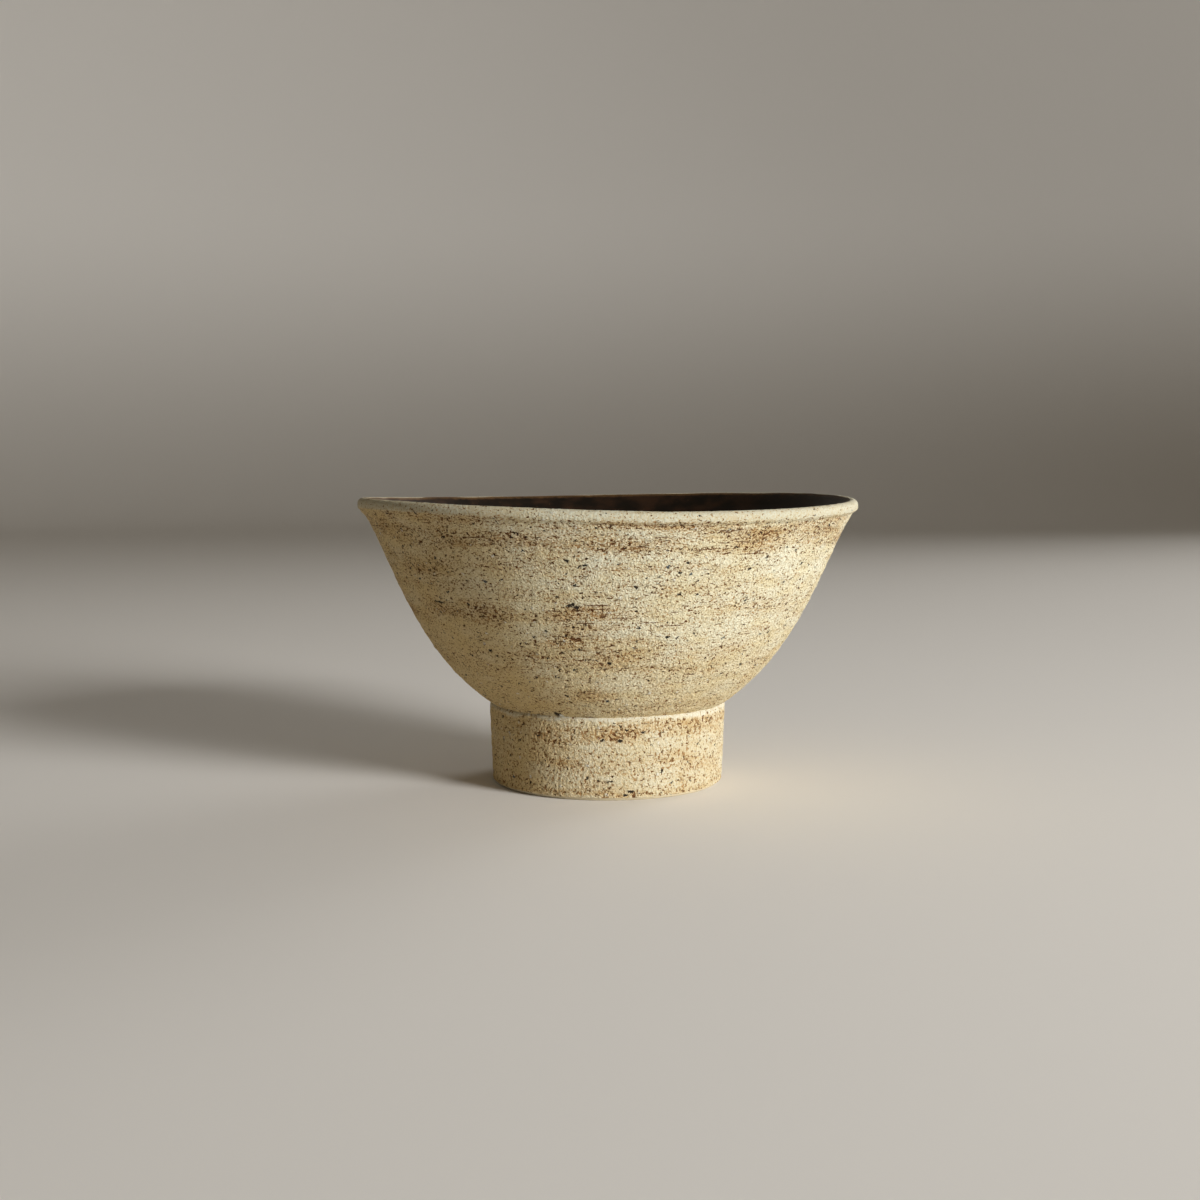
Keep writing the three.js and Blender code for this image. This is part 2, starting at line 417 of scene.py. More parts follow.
def wobbled(tree, place, size, reach):
    _, wobble = noiseAt(tree, place, size, detail=1.0)
    push = tree.nodes.new("ShaderNodeVectorMath")
    push.operation = "SCALE"
    wire(tree, wobble, push.inputs[0])
    wire(tree, reach, push.inputs["Scale"])
    moved = tree.nodes.new("ShaderNodeVectorMath")
    wire(tree, place, moved.inputs[0])
    wire(tree, push.outputs[0], moved.inputs[1])
    return moved.outputs[0]


def cellsAt(tree, place, size):
    node = tree.nodes.new("ShaderNodeTexVoronoi")
    wire(tree, place, node.inputs["Vector"])
    wire(tree, maths(tree, "DIVIDE", 1.0, size), node.inputs["Scale"])
    return node.outputs


def buildSandGrain(tree, given):  # round grains that stand up under the slip
    dome = stepUp(tree, cellsAt(tree, given["Place"], given["Size"])["Distance"], 0.75, 0.1)
    fine, _ = noiseAt(tree, given["Place"], maths(tree, "MULTIPLY", given["Size"], 0.7), roughness=0.6)
    fine = maths(tree, "MULTIPLY", stepUp(tree, fine, 0.3, 0.7), 0.6)
    return [maths(tree, "MULTIPLY_ADD", dome, 0.4, fine)]


def buildPinholes(tree, given):  # open pits in the slip, from dots to short dashes
    place = flattened(tree, given["Place"], given["Stretch"])
    broad, _ = noiseAt(tree, place, given["Size"], detail=1.0, distortion=0.4)
    fine, _ = noiseAt(tree, given["Place"], maths(tree, "MULTIPLY", given["Size"], 0.4), detail=1.0)
    depth = maths(tree, "MULTIPLY_ADD", broad, 0.72, maths(tree, "MULTIPLY", fine, 0.28))
    limit = maths(tree, "SUBTRACT", 0.66, maths(tree, "MULTIPLY", given["Cover"], 0.16))
    halo = stepUp(tree, depth, maths(tree, "SUBTRACT", limit, 0.06), maths(tree, "ADD", limit, 0.01))
    return [stepUp(tree, depth, limit, maths(tree, "ADD", limit, 0.025)), halo]


def buildIronSpecks(tree, given):
    place = flattened(tree, given["Place"], given["Stretch"])
    crooked = wobbled(tree, place, maths(tree, "MULTIPLY", given["Size"], 0.8),
                      maths(tree, "MULTIPLY", given["Size"], 2.4))
    cells = cellsAt(tree, crooked, given["Spacing"])
    chance = tree.nodes.new("ShaderNodeSeparateXYZ")
    wire(tree, cells["Color"], chance.inputs[0])
    reach = maths(tree, "DIVIDE", given["Size"], given["Spacing"])
    reach = maths(tree, "MULTIPLY", reach, maths(tree, "MULTIPLY_ADD", chance.outputs[1], 0.6, 0.4))
    speck = stepUp(tree, cells["Distance"], reach, maths(tree, "MULTIPLY", reach, 0.55))
    kept = maths(tree, "LESS_THAN", chance.outputs[0], given["Share"])
    return [maths(tree, "MULTIPLY", speck, kept), chance.outputs[2]]


def buildDragLines(tree, given):  # thin broken lines, drawn by grit as the wheel turns
    place = flattened(tree, given["Place"], given["Stretch"])
    lines, _ = noiseAt(tree, place, given["Length"], detail=1.5, roughness=0.6)
    limit = maths(tree, "SUBTRACT", 0.78, maths(tree, "MULTIPLY", given["Share"], 0.16))
    line = stepUp(tree, lines, limit, maths(tree, "ADD", limit, 0.05))
    breaks, _ = noiseAt(tree, given["Place"], maths(tree, "MULTIPLY", given["Length"], 0.12), detail=1.0)
    return [maths(tree, "MULTIPLY", line, stepUp(tree, breaks, 0.36, 0.5))]


sandGrain = pattern("sandGrain", {"Place": None, "Size": 0.6 * mm}, ["Grain"], buildSandGrain)
pinholes = pattern("pinholes", {"Place": None, "Size": 1 * mm, "Stretch": 1.0, "Cover": 0.5},
                   ["Pinhole", "Halo"], buildPinholes)
ironSpecks = pattern("ironSpecks", {"Place": None, "Spacing": 3 * mm, "Size": 0.6 * mm, "Stretch": 1.0,
                                    "Share": 0.5}, ["Speck", "Tint"], buildIronSpecks)
dragLines = pattern("dragLines", {"Place": None, "Length": 9 * mm, "Stretch": 18.0, "Share": 0.5},
                    ["Drag"], buildDragLines)
print("surface patterns made")


def readValue(tree, label):
    if tree.bl_idname == "ShaderNodeTree":
        node = tree.nodes.new("ShaderNodeAttribute")
        node.attribute_name = label
        return node.outputs["Fac"]
    node = tree.nodes.new("GeometryNodeInputNamedAttribute")
    node.data_type = "FLOAT"
    node.inputs["Name"].default_value = label
    return node.outputs["Attribute"]


# the marks of a sandy slip coat, read by its relief and by its colour
def slipMarks(tree, place, look):
    thin = readValue(tree, "thin")
    bare = maths(tree, "SUBTRACT", 1.0, readValue(tree, "wiped"))
    grain = use(tree, sandGrain, Place=place, Size=look["grainSize"])["Grain"]
    sandy = maths(tree, "MULTIPLY_ADD", bare, 0.65, 0.35)
    sand = maths(tree, "MULTIPLY", maths(tree, "SUBTRACT", grain, 0.5), sandy)
    marks = {"thin": thin, "grain": grain, "sand": sand}
    for mark, kept in (("stipple", maths(tree, "MULTIPLY_ADD", bare, 0.6, 0.4)), ("pit", bare)):
        size, stretch, plain, more = look[mark]
        cover = maths(tree, "MULTIPLY", maths(tree, "MULTIPLY_ADD", thin, more, plain), kept)
        found = use(tree, pinholes, Place=place, Size=size, Stretch=stretch, Cover=cover)
        marks[mark], marks[mark + "Halo"] = found["Pinhole"], found["Halo"]
    for mark in ("speck", "crumb"):
        spacing, size, stretch, share = look[mark]
        found = use(tree, ironSpecks, Place=place, Spacing=spacing, Size=size, Stretch=stretch,
                    Share=maths(tree, "MULTIPLY", bare, share))
        marks[mark], marks[mark + "Tint"] = found["Speck"], found["Tint"]
    length, stretch, share = look["drag"]
    share = maths(tree, "MULTIPLY", maths(tree, "MULTIPLY_ADD", thin, 0.7, 0.4),
                  maths(tree, "MULTIPLY", bare, share))
    marks["drag"] = use(tree, dragLines, Place=place, Length=length, Stretch=stretch, Share=share)["Drag"]
    return marks


def slipHeight(tree, marks, look):
    height = maths(tree, "MULTIPLY", marks["sand"], look["grainHeight"])
    for mark, depth in look["depths"].items():
        height = maths(tree, "SUBTRACT", height, maths(tree, "MULTIPLY", marks[mark], depth))
    return height


def applyRelief(piece, heightOf):
    tree = bpy.data.node_groups.new(piece.name + "Relief", "GeometryNodeTree")
    tree.interface.new_socket("Geometry", in_out="INPUT", socket_type="NodeSocketGeometry")
    tree.interface.new_socket("Geometry", in_out="OUTPUT", socket_type="NodeSocketGeometry")
    given, result = tree.nodes.new("NodeGroupInput"), tree.nodes.new("NodeGroupOutput")
    place = tree.nodes.new("GeometryNodeInputPosition").outputs[0]
    height = maths(tree, "MULTIPLY", heightOf(tree, place), readValue(tree, "showing"))
    push = tree.nodes.new("ShaderNodeVectorMath")
    push.operation = "SCALE"
    wire(tree, tree.nodes.new("GeometryNodeInputNormal").outputs[0], push.inputs[0])
    wire(tree, height, push.inputs["Scale"])
    move = tree.nodes.new("GeometryNodeSetPosition")
    wire(tree, given.outputs[0], move.inputs["Geometry"])
    wire(tree, push.outputs[0], move.inputs["Offset"])
    wire(tree, move.outputs[0], result.inputs[0])
    modifier = piece.modifiers.new("relief", "NODES")
    modifier.node_group = tree
    shaped = bpy.data.meshes.new_from_object(piece.evaluated_get(bpy.context.evaluated_depsgraph_get()))
    shaped.name = piece.name
    piece.modifiers.clear()
    piece.data = shaped


def newMaterial(name):
    material = bpy.data.materials.new(name)
    material.use_nodes = True
    tree = material.node_tree
    shader = tree.nodes["Principled BSDF"]
    place = tree.nodes.new("ShaderNodeTexCoord").outputs["Object"]
    return material, tree, shader, place


def bumpFrom(tree, shader, height, strength):
    bump = tree.nodes.new("ShaderNodeBump")
    bump.inputs["Strength"].default_value = strength
    bump.inputs["Distance"].default_value = 1.0
    wire(tree, height, bump.inputs["Height"])
    wire(tree, bump.outputs[0], shader.inputs["Normal"])


# marks set one by one, with side and tilt in degrees and lengths in mm
def placedMarks(tree, place, spots, wobble):
    crooked = wobbled(tree, place, 0.4 * mm, wobble)
    found = 0.0
    for side, level, radius, wide, tall, tilt in spots:
        turn = math.radians(side - 90)
        mapping = tree.nodes.new("ShaderNodeMapping")
        mapping.vector_type = "TEXTURE"
        wire(tree, crooked, mapping.inputs["Vector"])
        middle = Vector((radius * mm * math.cos(turn), radius * mm * math.sin(turn), level * mm))
        mapping.inputs["Location"].default_value = middle + Vector((wobble / 2,) * 3)
        mapping.inputs["Rotation"].default_value = (0, math.radians(-tilt), math.radians(side))
        mapping.inputs["Scale"].default_value = (wide * mm, 1.5 * mm, tall * mm)
        away = tree.nodes.new("ShaderNodeVectorMath")
        away.operation = "LENGTH"
        wire(tree, mapping.outputs[0], away.inputs[0])
        found = maths(tree, "MAXIMUM", found, stepUp(tree, away.outputs["Value"], 1.0, 0.6))
    return found


def maskAt(tree, place, mask, detail, roughness=0.5):
    size, stretch, low, high = mask
    noise, _ = noiseAt(tree, flattened(tree, place, stretch), size, detail=detail, roughness=roughness)
    return stepUp(tree, noise, low, high)


def slipMaterial(name, look):
    material, tree, shader, place = newMaterial(name)
    marks = slipMarks(tree, place, look)
    colour = mixColour(tree, maskAt(tree, place, look["cloud"], 3.0), look["cream"], look["warmCream"])
    # the slip's own gold, with painted warm light low down and painted warm shade on the left
    colour = mixColour(tree, readValue(tree, "goldAndWarmShade"), colour, look["goldAndWarmShadeTone"])
    colour = mixColour(tree, readValue(tree, "wiped"), colour, look["lipTone"])
    wisps = maths(tree, "MULTIPLY", maskAt(tree, place, look["wisp"], 4.0, 0.7),
                  maskAt(tree, place, look["streak"], 4.0, 0.65))
    halo = maths(tree, "MAXIMUM", marks["stippleHalo"], marks["pitHalo"])
    ground = maths(tree, "MULTIPLY", marks["thin"], look["tanShare"])
    ground = maths(tree, "MULTIPLY_ADD", halo, look["haloShare"], ground)
    colour = mixColour(tree, ground, colour, look["tan"])
    ochre = maths(tree, "MULTIPLY", stepUp(tree, marks["thin"], 0.0, 0.7), wisps)
    colour = mixColour(tree, maths(tree, "MULTIPLY", ochre, look["ochreShare"]), colour, look["ochre"])
    # painted shade in the gaps between sand grains, stronger where the slip is thin
    shadedGaps = stepUp(tree, marks["grain"], 0.62, 0.28)
    shade = maths(tree, "MULTIPLY_ADD", marks["thin"], 0.3, look["grainShade"])
    colour = mixColour(tree, maths(tree, "MULTIPLY", shadedGaps, shade), colour, look["grainGapShade"])
    quartz = maths(tree, "MULTIPLY", marks["crumb"], look["quartzShare"])
    colour = mixColour(tree, quartz, colour, look["quartz"])
    burnt, _ = noiseAt(tree, place, look["burntSize"], detail=2.0)
    brown = mixColour(tree, stepUp(tree, burnt, 0.32, 0.6), look["paleBrown"], look["brown"])
    colour = mixColour(tree, maths(tree, "MULTIPLY", marks["stipple"], look["stippleShare"]), colour, brown)
    dragged = maths(tree, "MULTIPLY", marks["drag"], look["dragShade"])
    colour = mixColour(tree, dragged, colour, look["brown"])
    dark = mixColour(tree, stepUp(tree, burnt, 0.5, 0.66), look["brown"], look["black"])
    deep = mixColour(tree, stepUp(tree, marks["pit"], 0.4, 1.0), look["paleBrown"], dark)
    colour = mixColour(tree, stepUp(tree, marks["pit"], 0.05, 0.7), colour, deep)
    iron = mixColour(tree, stepUp(tree, marks["speckTint"], 0.88, 0.94), look["iron"], look["blueIron"])
    colour = mixColour(tree, marks["speck"], colour, iron)
    # placed marks; the highlight spots are painted highlights
    for spots, tone, wobble in (("brownLines", "brown", 0.5 * mm), ("darkSpots", "black", 1.2 * mm),
                                ("blueSpots", "blueIron", 1.2 * mm), ("highlightSpots", "quartz", 0.6 * mm)):
        if look[spots]:
            colour = mixColour(tree, placedMarks(tree, place, look[spots], wobble), colour, look[tone])
    wire(tree, colour, shader.inputs["Base Color"])
    rough = maths(tree, "MULTIPLY_ADD", marks["speck"], -look["speckPolish"], look["roughness"])
    wire(tree, rough, shader.inputs["Roughness"])
    shader.inputs["Specular IOR Level"].default_value = look["sheen"]
    bumpFrom(tree, shader, slipHeight(tree, marks, look), look["bump"])
    return material


# where the slip lies thin: bands round the wheel, listed patches, and fine streaks
def thinSlip(turn, height, look):
    wander = look["bandWander"] * wheelNoise(look["seed"], turn, height, 6, 9 * mm)
    share = 0 * turn * height
    for i, (level, spread, strength) in enumerate(look["bands"]):
        swell = 0.7 + 0.6 * wheelNoise(look["seed"] + 10 + i, turn, height, 8, 20 * mm)
        band = np.exp(-((height + wander - level * mm) / (spread * mm)) ** 2)
        share = np.maximum(share, strength * swell * band)
    for side, level, wide, tall, strength in look["patches"]:
        sideways = (fromFront(turn) - side) / wide
        upward = (height + wander * 0.5 - level * mm) / (tall * mm)
        share = np.maximum(share, strength * np.exp(-(sideways ** 2 + upward ** 2)))
    streak = wheelNoise(look["seed"] + 40, turn, height, 26, 1.5 * mm)
    fleck = wheelNoise(look["seed"] + 41, turn, height, 90, 2.2 * mm)
    blotch = smooth(wheelNoise(look["seed"] + 42, turn, height, 15, 6 * mm), 0.1, 0.9)
    share = np.maximum(share, look["blotches"] * blotch)
    return np.clip(share * (0.8 + 0.4 * streak) + look["haze"] + 0.16 * streak + 0.16 * fleck, 0, 1)


# the slip is yellower low down, partly its own colour and partly painted warm bounced light; to the left it
# is painted yellower as warm shade on the shaded side
def slipGoldAndPaintedWarmth(turn, height, look):
    low = look["lowGoldAndWarmLight"] * smooth(height, look["goldTop"], look["goldFoot"])
    left = look["leftPaintedWarmShade"] * sector(turn, *look["warmShadeSide"])
    mottle = 1 + 0.3 * wheelNoise(look["seed"] + 43, turn, height, 40, 3 * mm)
    return np.clip((low + left) * mottle, 0, look["mostGoldAndWarmShade"])


def ridges(turn, length, look):
    bend = 0.35 * wheelNoise(look["seed"] + 50, turn, length, 4, 12 * mm)
    broad = np.sin(2 * math.pi * (length / look["ridgeStep"] + turn / (2 * math.pi) + bend))
    close = np.sin(2 * math.pi * (length / (0.43 * look["ridgeStep"]) - turn / (2 * math.pi) + 1.7 * bend))
    swell = 0.65 + 0.5 * wheelNoise(look["seed"] + 51, turn, length, 5, 10 * mm)
    drift = wheelNoise(look["seed"] + 52, turn, length, 14, 7 * mm)
    return look["ridgeHeight"] * (swell * (0.7 * broad + 0.4 * close) + 0.5 * drift)


wallSlip = {
    "columns": 600, "rowStep": 0.43 * mm, "seed": 21,
    "hiddenStep": 6 * mm, "footFade": 0.9 * mm, "topFade": 0.6 * mm,  # the ends of the coat are plain
    "ridgeStep": 4.6 * mm, "ridgeHeight": 0.07 * mm,
    "bandWander": 1.2 * mm, "haze": 0.05, "blotches": 0.26,
    # gold low down is partly the slip's own colour and partly painted warm light; gold on the left is
    # painted warm shade
    "lowGoldAndWarmLight": 0.36, "goldTop": 52 * mm, "goldFoot": 22 * mm,
    "leftPaintedWarmShade": 0.75, "warmShadeSide": (-100, -58, 55), "mostGoldAndWarmShade": 0.8,
    # the lip is wiped, more so towards the right
    "wiped": 0.5, "rightPaleShare": 0.25, "rightPaleSide": (30, 110, 68),
    "bands": [  # height and spread in mm, strength
        (68, 1.3, 0.7), (65.7, 1.6, 0.6), (63, 1.6, 0.72), (58, 1, 0.3),
        (52.5, 1.4, 0.4), (46.5, 3, 0.4), (35, 3, 0.4), (24, 2, 0.15),
    ],
    "patches": [  # side in degrees, height in mm, half width in degrees, half height in mm, strength
        (-33, 64.5, 14, 2.6, 0.9), (6, 64.5, 12, 1.8, 0.8),
        (36, 65.5, 9, 2, 0.82), (56, 66, 9, 2, 0.85),
        (-6, 47, 11, 3.4, 0.88), (-12, 41, 9, 2.5, 0.7), (4, 38, 10, 2.5, 0.6),
    ],
    "darkSpots": [  # side, height, radius, half width, half height, tilt
        (-9.8, 49.4, 52.6, 0.8, 0.35, 10), (-8.7, 49.7, 52.8, 0.45, 0.6, 20),
        (-7.6, 49.1, 52.5, 0.45, 0.6, -30), (34.9, 57.4, 56.3, 0.7, 0.4, 20),
        (6.6, 53.8, 54.7, 0.75, 0.45, -35), (-6.5, 58.6, 56.8, 0.85, 0.35, 35),
        (17.2, 52, 53.9, 0.9, 0.35, 30), (-50, 48.7, 52.2, 3, 0.3, -4),
        (-8, 39, 46.9, 0.7, 0.45, -25), (0.5, 35.5, 44.4, 0.65, 0.5, 0),
        (19, 41.5, 48.5, 0.7, 0.3, 60), (-23.3, 21.3, 30.2, 1.3, 1.2, 20),
    ],
    # a pale spot beside the ledge pit is a painted highlight on its lit side
    "highlightSpots": [(-21.8, 20.8, 29.3, 0.8, 0.7, 0)],
    "brownLines": [(-2.5, 49.6, 52.7, 3.6, 0.17, 0), (-2, 48.7, 52.3, 2.6, 0.14, 1),
                   (-14, 48.1, 52, 2.4, 0.15, -2), (-6, 45.3, 50.6, 3, 0.15, 1),
                   (4, 46.6, 51.2, 3.4, 0.14, -1), (10, 45.4, 50.6, 4, 0.12, 1),
                   (17, 44.6, 50.2, 3.2, 0.12, 0), (-6, 42.2, 48.9, 2, 0.13, 2),
                   (34, 61, 57.9, 5, 0.13, 1), (22, 62.3, 58.5, 4.2, 0.13, 2)],
    "blueSpots": [(13.6, 58.6, 56.8, 0.65, 0.45, 40),
                  (19.3, 56.7, 56, 0.5, 0.4, 0)],
    "cloud": (9 * mm, 2.2, 0.35, 0.68),  # size, stretch, where it starts, where it is full
    "wisp": (4 * mm, 3.0, 0.26, 0.6), "streak": (9 * mm, 9.0, 0.38, 0.6), "burntSize": 2.2 * mm,
    "grainSize": 0.6 * mm, "grainHeight": 0.19 * mm, "grainShade": 0.3,
    "stipple": (0.55 * mm, 1.4, 0.38, 0.58),  # size, stretch, cover where thick, more where thin
    "pit": (1.0 * mm, 1.7, 0.15, 0.58),
    "speck": (2.3 * mm, 0.72 * mm, 1.5, 0.34),  # spacing, size, stretch, share
    "crumb": (2.4 * mm, 0.5 * mm, 1.0, 0.5),
    "drag": (8 * mm, 14.0, 0.9),  # length, stretch, share
    "depths": {"stipple": 0.07 * mm, "pit": 0.15 * mm, "speck": 0.08 * mm, "drag": 0.09 * mm,
               "crumb": -0.16 * mm},  # crumbs stand up
    "cream": (0.735, 0.715, 0.55), "warmCream": (0.70, 0.635, 0.425), "goldAndWarmShadeTone": (0.63, 0.45, 0.185),
    "tan": (0.57, 0.385, 0.15), "tanShare": 0.25, "haloShare": 0.5,
    "ochre": (0.49, 0.29, 0.1), "ochreShare": 0.55,
    # grainGapShade is the colour of the painted shade between grains
    "grainGapShade": (0.44, 0.3, 0.12), "quartz": (0.82, 0.80, 0.70), "quartzShare": 0.7,
    "paleBrown": (0.34, 0.175, 0.055), "brown": (0.115, 0.043, 0.011), "black": (0.022, 0.014, 0.007),
    "stippleShare": 0.85, "iron": (0.018, 0.012, 0.007), "blueIron": (0.055, 0.068, 0.075),
    "lipTone": (0.45, 0.44, 0.34), "dragShade": 0.8,
    "roughness": 0.88, "speckPolish": 0.15, "sheen": 0.3, "bump": 1.0,
}


def makeWallSlip(look):
    shown = evenly(outside, look["rowStep"])
    rows, count = coatRows(shown, hiddenRows(clayOutside, look["hiddenStep"]))
    turn = roundWheel(look["columns"])
    height = rows[:, 1:]
    length = np.concatenate([along(shown), np.zeros(len(rows) - count)])[:, None]
    seen = (np.arange(len(rows)) < count)[:, None]
    showing = seen * smooth(length, 0, look["footFade"])
    showing = showing * smooth(length[count - 1] - length, 0, look["topFade"])
    onLip = smooth(height, lipEdge[1] - 0.2 * mm, lipEdge[1] + 0.4 * mm)
    lift = showing * ridges(turn, length, look) * (1 - 0.8 * onLip)
    piece = turnOutline("wallSlipCoat", rows, look["columns"], lift, {
        "showing": showing,
        "wiped": onLip * (look["wiped"] + look["rightPaleShare"] * sector(turn, *look["rightPaleSide"])),
        "goldAndWarmShade": slipGoldAndPaintedWarmth(turn, height, look) * (1 - 0.6 * onLip),
        "thin": thinSlip(turn, height, look) * (1 - 0.6 * onLip) * seen,
    })
    applyRelief(piece, lambda tree, place: slipHeight(tree, slipMarks(tree, place, look), look))
    piece.data.materials.clear()
    piece.data.materials.append(slipMaterial("paleWallSlip", look))
    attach(piece, "root")
    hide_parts("outer_slip")
    print("wall slip:", len(piece.data.polygons), "faces")


footSlip = dict(wallSlip, **{
    "seed": 77, "rowStep": 0.33 * mm, "ridgeStep": 3.8 * mm, "bandWander": 0.8 * mm,
    "hiddenStep": 4 * mm, "footFade": 0.4 * mm, "topFade": 0.5 * mm, "ragged": 0.5 * mm,
    # the ledge is painted paler and cleaner on its right, a painted highlight where the lamp falls, so that
    # its left reads as in shade
    "lowGoldAndWarmLight": 0.12, "wiped": 0.3, "rightPaleShare": 0.65, "rightPaleSide": (-22, 120, 8),
    "bands": [(16.8, 1.8, 0.55), (9, 1.6, 0.45), (1.5, 1, 0.5)],
    "patches": [(2, 16.3, 20, 2, 0.95), (-28, 15.5, 12, 2.6, 0.7), (-20, 9.5, 14, 1.4, 0.7),
                (35, 9, 16, 2, 0.6), (45, 16, 10, 3, 0.6)],
    "darkSpots": [(1, 4.8, 29.5, 1.1, 0.3, 12),
                  (11, 2.3, 29.4, 1.2, 0.35, 0), (26.4, 6.9, 29.6, 0.35, 0.6, 0),
                  (5.6, 14.8, 29.9, 0.8, 0.5, 0), (-2.7, 14.9, 29.9, 0.7, 0.35, 0)],
    "brownLines": [], "blueSpots": [], "highlightSpots": [],
    "stipple": (0.62 * mm, 0.85, 0.4, 0.52), "pit": (1.0 * mm, 1.1, 0.14, 0.48), "stippleShare": 0.78,
    "brown": (0.15, 0.062, 0.018), "lipTone": (0.61, 0.59, 0.475),
    "cream": (0.635, 0.605, 0.46), "warmCream": (0.605, 0.55, 0.385),
})


def makeFootSlip(look):
    shown = evenly(footOutside, look["rowStep"])
    rows, count = coatRows(shown, evenly(footCoated, look["hiddenStep"]))
    turn = roundWheel(look["columns"])
    height = rows[:, 1:]
    length = np.concatenate([along(shown), np.zeros(len(rows) - count)])[:, None]
    seen = (np.arange(len(rows)) < count)[:, None]
    showing = seen * smooth(length, 0, look["footFade"])
    showing = showing * smooth(length[count - 1] - length, 0, look["topFade"])
    ragged = look["ragged"] * wheelNoise(look["seed"] + 60, turn, 0 * height, 70, 1)
    onLedge = smooth(height + ragged, shoulderCentre[1] - 0.5 * mm, shoulderCentre[1] + 0.5 * mm)
    lift = showing * ridges(turn, length, look) * (1 - 0.7 * onLedge)
    piece = turnOutline("footSlipCoat", rows, look["columns"], lift, {
        "showing": showing,
        # the ledge's pale line, with a painted highlight on its right side
        "wiped": onLedge * (look["wiped"] + look["rightPaleShare"] * sector(turn, *look["rightPaleSide"])),
        "goldAndWarmShade": slipGoldAndPaintedWarmth(turn, height, look) * (1 - 0.6 * onLedge),
        "thin": thinSlip(turn, height, look) * (1 - 0.9 * onLedge) * seen,
    })
    applyRelief(piece, lambda tree, place: slipHeight(tree, slipMarks(tree, place, look), look))
    piece.data.materials.clear()
    piece.data.materials.append(slipMaterial("paleFootSlip", look))
    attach(piece, "root")
    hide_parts("foot_slip")
    print("foot slip:", len(piece.data.polygons), "faces")


innerGlaze = {
    "columns": 360, "rowStep": 0.6 * mm, "seed": 131,
    "ridgeStep": 6.5 * mm, "ridgeHeight": 0.13 * mm,
    "deep": (0.005, 0.0036, 0.0026), "brown": (0.024, 0.011, 0.0055), "amber": (0.085, 0.045, 0.018),
    "amberReach": 0.8 * mm, "roughness": 0.42, "sheen": 0.25, "sheenTint": (1.0, 0.82, 0.6),
    "fleckSpacing": 1.8 * mm, "fleckSize": 0.35 * mm, "raggedSize": 1.4 * mm,
    "peelSize": 1.1 * mm, "peelDepth": 0.03 * mm,
}


def glazeMaterial(name, look):
    material, tree, shader, place = newMaterial(name)
    cloud, _ = noiseAt(tree, flattened(tree, place, 2.0), 7 * mm, detail=4.0, roughness=0.6)
    colour = mixColour(tree, stepUp(tree, cloud, 0.38, 0.7), look["deep"], look["brown"])
    flecks = use(tree, ironSpecks, Place=place, Spacing=look["fleckSpacing"], Size=look["fleckSize"],
                 Stretch=1.0, Share=0.5)
    colour = mixColour(tree, maths(tree, "MULTIPLY", flecks["Speck"], 0.35), colour, look["amber"])
    ragged, _ = noiseAt(tree, place, look["raggedSize"], detail=3.0)
    edge = maths(tree, "ADD", readValue(tree, "edge"), maths(tree, "MULTIPLY_ADD", ragged, 0.9, -0.45))
    colour = mixColour(tree, stepUp(tree, edge, 0.25, 1.0), colour, look["amber"])
    wire(tree, colour, shader.inputs["Base Color"])
    shader.inputs["Specular IOR Level"].default_value = look["sheen"]
    shader.inputs["Specular Tint"].default_value = (*look["sheenTint"], 1)
    satin = maths(tree, "MULTIPLY_ADD", cloud, 0.22, look["roughness"] - 0.1)
    wire(tree, satin, shader.inputs["Roughness"])
    peel, _ = noiseAt(tree, place, look["peelSize"], detail=1.0)
    bumpFrom(tree, shader, maths(tree, "MULTIPLY", peel, look["peelDepth"]), 0.5)
    return material


def makeInnerGlaze(look):
    shown = evenly(insideSoft, look["rowStep"])
    hidden = evenly(clayInside, 3 * mm)
    rows = np.vstack([hidden[::-1], shown])
    turn = roundWheel(look["columns"])
    length = np.concatenate([np.zeros(len(hidden)), along(shown)])[:, None]
    seen = (np.arange(len(rows)) >= len(hidden))[:, None]
    centre = smooth(rows[:, :1], 0, 5 * mm)
    lift = seen * smooth(length, 0, 4 * mm) * centre * ridges(turn, length, look)
    piece = turnOutline("innerGlazeCoat", rows, look["columns"], lift, {
        "edge": seen * (1 - smooth(length, 0, look["amberReach"] * 2)),
    })
    piece.data.materials.append(glazeMaterial("darkGlaze", look))
    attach(piece, "root")
    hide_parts("inner_glaze")
    print("inner glaze:", len(piece.data.polygons), "faces")


# bare clay: trimming rings, grog and grit
bowlBody = {
    "columns": 300, "rowStep": 0.4 * mm, "seed": 211,
    "ridgeStep": 2.6 * mm, "ridgeHeight": 0.08 * mm,
    "grainSize": 0.7 * mm, "grainHeight": 0.06 * mm,
    "holeSize": 1.3 * mm, "holeDepth": 0.14 * mm, "cover": 0.35,
    "grogSpacing": 2.2 * mm, "grogSize": 0.6 * mm, "cloudSize": 8 * mm,
    "clay": (0.40, 0.25, 0.13), "paleClay": (0.50, 0.36, 0.21), "darkClay": (0.22, 0.12, 0.055),
    "grog": (0.55, 0.45, 0.31), "wash": (0.66, 0.58, 0.41), "roughness": 0.9, "sheen": 0.3, "bump": 0.6,
}


def clayMarks(tree, place, look):
    grain = use(tree, sandGrain, Place=place, Size=look["grainSize"])["Grain"]
    holes = use(tree, pinholes, Place=place, Size=look["holeSize"], Stretch=1.0, Cover=look["cover"])
    grog = use(tree, ironSpecks, Place=place, Spacing=look["grogSpacing"], Size=look["grogSize"],
               Stretch=1.0, Share=0.6)
    return grain, holes["Pinhole"], grog["Speck"]


def clayHeight(tree, place, look):
    grain, hole, _ = clayMarks(tree, place, look)
    height = maths(tree, "MULTIPLY", maths(tree, "SUBTRACT", grain, 0.5), look["grainHeight"])
    return maths(tree, "SUBTRACT", height, maths(tree, "MULTIPLY", hole, look["holeDepth"]))


